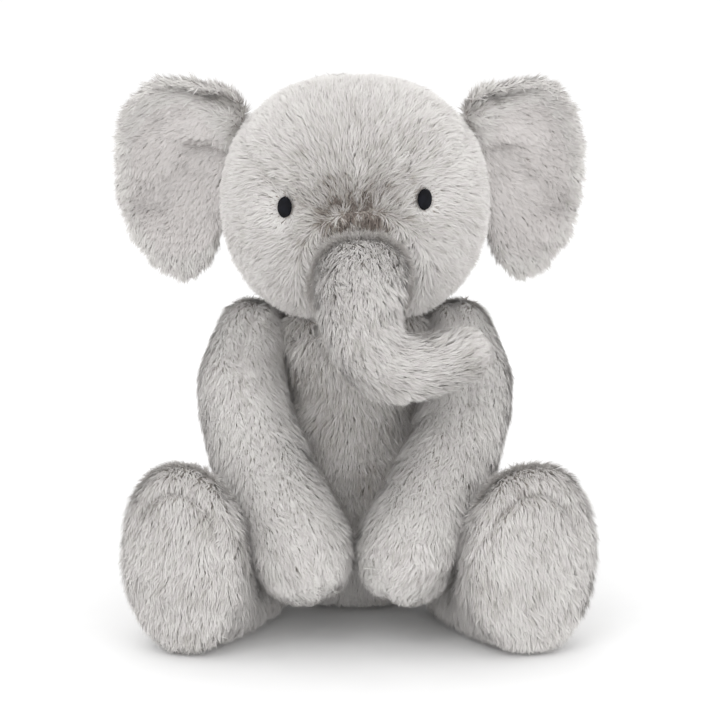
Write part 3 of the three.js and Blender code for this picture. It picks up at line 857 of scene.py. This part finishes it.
def makeEar(side):
    panels = [f"ear_{side}_lining", f"ear_{side}_back"]
    name = f"ear{side.capitalize()}"
    skin, _ = makeSkin(name + "Skin", panels, voxel=0.0022, cap=0.0014, seamDepth=0.0)
    mesh = skin.data
    points = places(mesh)
    middle, low, high = middleOf(*panels)
    handed = 1 if side == "left" else -1
    root = np.array([low[0] if side == "left" else high[0], middle[1], middle[2] + 0.022])
    nap = unit(points - root) + np.array([0.0, 0.0, -0.5])
    front = smoothstep(-facing(mesh)[:, 1], 0.0, 0.5)
    across = np.abs(points[:, 0] - root[0]) / (high[0] - low[0])
    up = (points[:, 2] - middle[2]) / (high[2] - low[2]) * 2
    forward, shade = foldEar(across, up)
    points[:, 1] -= forward
    points[:, 0] += handed * earPiece["wider"][side] * across
    points[:, 2] += earPiece["taller"] * up
    setPlaces(mesh, points)
    rim = smoothstep(np.hypot(2 * across - 1, up), 0.62, 0.95)
    fine = front * (1 - rim)
    # painted shade where the ear meets the head, and in the folds on its front
    crease = spot(points, root + np.array([handed * 0.006, -0.004, 0.012]), (0.009, 0.02, 0.012))
    length = 1 - (1 - earPiece["liningLength"]) * fine
    tone = 0.2 * crease + shade * front - 0.12
    dressSkin(skin, np.zeros(len(points)), nap, tone, length, 0.55 - 0.05 * fine, material=liningCloth)
    sizes = {"Density": earPiece["density"], "Length": earPiece["length"], "Width": 1.15}
    seed = 51 if side == "left" else 53
    lining = 1.0 * (fine > 0.5)
    piles = [growPile(name + "BackPile", skin, 1 - lining, Seed=seed, **sizes),
             growPile(name + "LiningPile", skin, lining, "lining", Seed=seed + 1, **sizes)]
    settle(skin, panels, piles, body=f"ear_{side}")


# Trunk: from the face down and across to the toy's left

trunkPiece = {
    "density": 2.7e6,
    "length": 0.0078,
    "route": [(0.0, 0.0, 0.0), (-0.001, -0.023, -0.013), (-0.005, -0.034, -0.06), (0.053, -0.026, -0.038)],
    "rootReach": 0.009,
    "rootFlare": 0.38,
    "rampHeight": 0.009,
    "rampReach": 0.004,
    "tipLift": 0.004,
    "fill": 0.75,
}


def trunkLine(root, count=60):
    bends = np.array(trunkPiece["route"]) + root
    t = np.linspace(0, 1, count)[:, None]
    a, b, c, d = bends
    line = a * (1 - t) ** 3 + 3 * b * t * (1 - t) ** 2 + 3 * c * t ** 2 * (1 - t) + d * t ** 3
    return line, unit(np.gradient(line, axis=0))


def makeTrunk():
    skin, closeness = makeSkin("trunkSkin", trunkPanels, ["trunk_stuffing"], voxel=0.0028)
    mesh = skin.data
    points = places(mesh)
    root, rootBack = trunkRoot, trunkHigh[1]
    # the root reaches into the face, flares out and ramps up to meet it
    behind = smoothstep(points[:, 1], rootBack - 0.02, rootBack)
    points[:, 1] += trunkPiece["rootReach"] * behind
    flare = 1 + trunkPiece["rootFlare"] * behind ** 2
    ramp = smoothstep(points[:, 1], rootBack - 0.03, rootBack + 0.004)
    ramp *= smoothstep(points[:, 2], root[2], root[2] + 0.02)
    points[:, 0] = root[0] + (points[:, 0] - root[0]) * flare
    points[:, 2] = root[2] + (points[:, 2] - root[2]) * flare + trunkPiece["rampHeight"] * ramp
    points[:, 1] += trunkPiece["rampReach"] * ramp
    outer = smoothstep(points[:, 0], 0.0, 0.04)
    inside = smoothstep(points[:, 1], rootBack + 0.003, rootBack + 0.009)
    points[:, 2] += trunkPiece["tipLift"] * outer
    setPlaces(mesh, points)
    line, runs = trunkLine(root)
    nearest = np.argmin(((points[:, None] - line[None]) ** 2).sum(axis=2), axis=1)
    nap = runs[nearest] + 0.15 * unit(points - line[nearest])
    share = nearest / (len(line) - 1)
    top = smoothstep(-share, -0.16, 0.0)
    tip = smoothstep(share, 0.93, 1.0)
    # painted shade at the trunk's root, where it meets the face; the tip is a little darker too
    dressSkin(skin, closeness, nap, 0.12 * top + 0.06 * tip, 1 - 0.1 * tip, 0.6)
    sizes = {"Density": trunkPiece["density"], "Length": trunkPiece["length"]}
    piles = [growPile("trunkPile", skin, 1 - 0.9 * inside, Seed=61, **sizes)]
    across = ("head", "trunk", (0, rootBack + 0.004, root[2]), (0, rootBack - 0.02, root[2]))
    settle(skin, trunkPanels, piles, across=across)


def makeTail():
    skin, closeness = makeSkin("tailSkin", ["tail"], voxel=0.0018, cap=0.0, shrink=0.0005, smoothing=6)
    points = places(skin.data)
    nap = np.tile([0.0, 0.15, -1.0], (len(points), 1))
    dressSkin(skin, closeness, nap, 0.05, 0.75, 0.62)
    piles = [growPile("tailPile", skin, np.ones(len(points)), Seed=71, Density=2.4e6, Length=0.0075)]
    settle(skin, ["tail"], piles, body="tail")


for side in ("left", "right"):
    makeArm(side)
    makeLeg(side)
    makeEar(side)
makeTrunk()
makeTail()
bpy.data.objects.remove(strand)
print("skins and pile made")


# Eyes: satin-stitched ovals

eyePiece = {
    "threads": 30,
    "thread": 0.00022,
    "width": 0.0082,
    "height": 0.0108,
    "dome": 0.0022,
}


def makeSatinTree():
    # threads side by side across an oval, each one arched over the padding below it
    tree = bpy.data.node_groups.new("satinStitch", "GeometryNodeTree")
    face = tree.interface
    face.new_socket(name="Base", in_out="INPUT", socket_type="NodeSocketGeometry")
    face.new_socket(name="Threads", in_out="INPUT", socket_type="NodeSocketInt").default_value = 30
    for key, value in {"Thread": 0.0002, "Width": 0.007, "Height": 0.01, "Dome": 0.002}.items():
        face.new_socket(name=key, in_out="INPUT", socket_type="NodeSocketFloat").default_value = value
    face.new_socket(name="Stitches", in_out="OUTPUT", socket_type="NodeSocketGeometry")
    add = nodeAdder(tree)
    taken = add("NodeGroupInput").outputs

    def maths(operation, *values):
        return add("ShaderNodeMath", dict(enumerate(values)), operation=operation).outputs[0]

    rows = add("GeometryNodeMeshLine", {"Count": taken["Threads"], "Start Location": (0.0, 0.0, -0.985),
                                        "Offset": (0.0, 0.0, 0.985)}, mode="END_POINTS")
    single = add("GeometryNodeCurvePrimitiveLine", {"Start": (-1.0, 0.0, 0.0), "End": (1.0, 0.0, 0.0)})
    single = add("GeometryNodeResampleCurve", {"Curve": single.outputs[0], "Count": 13})
    laid = add("GeometryNodeInstanceOnPoints", {"Points": rows.outputs[0], "Instance": single.outputs[0]})
    laid = add("GeometryNodeRealizeInstances", {0: laid.outputs[0]})
    parts = add("ShaderNodeSeparateXYZ", {0: add("GeometryNodeInputPosition").outputs[0]}).outputs
    roundness = maths("SUBTRACT", 1.0, maths("MULTIPLY", parts[2], parts[2]))
    girth = maths("SQRT", maths("MAXIMUM", roundness, 0.01))
    where = add("GeometryNodeInputPosition").outputs[0]
    wave = add("ShaderNodeTexNoise", {"Vector": where, "Scale": 7.0}).outputs[0]
    edge = maths("SUBTRACT", 1.0, maths("MULTIPLY", parts[0], parts[0]))
    arch = maths("MULTIPLY", maths("SQRT", maths("MAXIMUM", edge, 0.0)), girth)
    x = maths("MULTIPLY", maths("MULTIPLY", parts[0], girth), maths("MULTIPLY", taken["Width"], 0.5))
    rise = maths("ADD", arch, maths("MULTIPLY", wave, 0.05))
    y = maths("MULTIPLY", rise, maths("MULTIPLY", taken["Dome"], -1.0))
    slant = maths("ADD", parts[2], maths("MULTIPLY", parts[0], 0.04))
    z = maths("MULTIPLY", slant, maths("MULTIPLY", taken["Height"], 0.5))
    arched = add("ShaderNodeCombineXYZ", {0: x, 1: y, 2: z})
    shaped = add("GeometryNodeSetPosition", {"Geometry": laid.outputs[0], "Position": arched.outputs[0]})
    ring = add("GeometryNodeCurvePrimitiveCircle", {"Resolution": 6, "Radius": taken["Thread"]})
    tubes = add("GeometryNodeCurveToMesh", {"Curve": shaped.outputs[0], "Profile Curve": ring.outputs[0],
                                           "Fill Caps": True})
    both = add("GeometryNodeJoinGeometry")
    tree.links.new(tubes.outputs[0], both.inputs[0])
    tree.links.new(taken["Base"], both.inputs[0])
    done = add("GeometryNodeSetMaterial", {"Geometry": both.outputs[0], "Material": eyeThread})
    add("NodeGroupOutput", {"Stitches": done.outputs[0]})
    return tree


satinTree = makeSatinTree()


def makeEye(side):
    # the padding under the stitches: a low dome with a flat back
    form = bmesh.new()
    bmesh.ops.create_uvsphere(form, u_segments=24, v_segments=14, radius=1.0)
    for vert in form.verts:
        depth = 0.0 if vert.co.y > 0 else vert.co.y * (eyePiece["dome"] - 0.0001)
        vert.co = Vector((vert.co.x * (eyePiece["width"] / 2 - 0.0001), depth,
                          vert.co.z * (eyePiece["height"] / 2 - 0.0001)))
    bmesh.ops.remove_doubles(form, verts=form.verts, dist=1e-6)
    mesh = bpy.data.meshes.new(f"eye{side.capitalize()}Stitched")
    form.to_mesh(mesh)
    form.free()
    eye = addObject(mesh.name, mesh)
    stitcher = eye.modifiers.new("stitches", "NODES")
    stitcher.node_group = satinTree
    sizes = {"Threads": eyePiece["threads"], "Thread": eyePiece["thread"], "Width": eyePiece["width"],
             "Height": eyePiece["height"], "Dome": eyePiece["dome"]}
    for socket in satinTree.interface.items_tree:
        if socket.in_out == "INPUT" and socket.name in sizes:
            stitcher[socket.identifier] = sizes[socket.name]
    applied(eye)
    # the eye lies on the head's side, square to it
    away = (eyes[side] - headMiddle) / ((headHigh - headLow) / 2) ** 2
    outward = Vector(away).normalized()
    turn = Vector((0, -1, 0)).rotation_difference(outward).to_matrix().to_4x4()
    turn.translation = Vector(eyes[side]) - outward * 0.0006
    eye.data.transform(turn)
    for face in eye.data.polygons:
        face.use_smooth = True
    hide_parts(f"eye_{side}")
    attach(eye, "head")


for side in ("left", "right"):
    makeEye(side)


# Hidden pieces keep their own shape and get their own finish

hiddenFinishes = {
    looseFibre: ["torso_stuffing", "head_stuffing", "trunk_stuffing", "neck_plug", "arm_left_stuffing",
                 "arm_right_stuffing", "leg_left_stuffing", "leg_right_stuffing"],
    pelletCanvas: ["pellet_bag"],
    labelRibbon: ["care_label"],
}
for finish, nodes in hiddenFinishes.items():
    for node in nodes:
        for slotHere in bpy.data.objects[node].material_slots:
            slotHere.link = "OBJECT"
            slotHere.material = finish
print("eyes and hidden pieces made")


# Room: a pale floor, soft lamps and the camera

roomSettings = {
    "lens": 116.8,
    "distance": 1.25,
    "elevation": 12,
    "target": (0.0027, -0.0053, 0.138),
}


def makeRoom():
    form = bmesh.new()
    bmesh.ops.create_grid(form, x_segments=8, y_segments=8, size=20)
    mesh = bpy.data.meshes.new("floor")
    form.to_mesh(mesh)
    form.free()
    floor = addObject("floor", mesh)
    paper = cloth("floorPaper", (0.93, 0.93, 0.93, 1), (0.92, 0.92, 0.92, 1), patch=2.0, grain=40.0,
                  bump=0.02, sheen=0.0)
    mesh.materials.append(paper)
    world = bpy.data.worlds.new("studio")
    scene.world = world
    world.use_nodes = True
    world.node_tree.nodes["Background"].inputs["Color"].default_value = (1.0, 1.0, 1.0, 1)
    world.node_tree.nodes["Background"].inputs["Strength"].default_value = 1.1
    lamps = {
        "keyLamp": ((-0.7, -1.5, 1.3), 8, 1.1),
        "fillLamp": ((1.1, -1.4, 0.5), 6, 1.2),
        "topLamp": ((0.0, 0.3, 1.7), 2, 1.4),
    }
    for name, (place, power, size) in lamps.items():
        lamp = bpy.data.lights.new(name, "AREA")
        lamp.energy = power
        lamp.size = size
        holder = addObject(name, lamp)
        holder.location = place
        holder.rotation_euler = (Vector((0, 0, 0.12)) - Vector(place)).to_track_quat("-Z", "Y").to_euler()


def makeCamera():
    camera = addObject("camera", bpy.data.cameras.new("camera"))
    camera.data.lens = roomSettings["lens"]
    camera.data.sensor_width = 36
    tilt = math.radians(roomSettings["elevation"])
    target = Vector(roomSettings["target"])
    camera.location = target + roomSettings["distance"] * Vector((0, -math.cos(tilt), math.sin(tilt)))
    camera.rotation_euler = (target - camera.location).to_track_quat("-Z", "Y").to_euler()
    scene.camera = camera


makeRoom()
makeCamera()
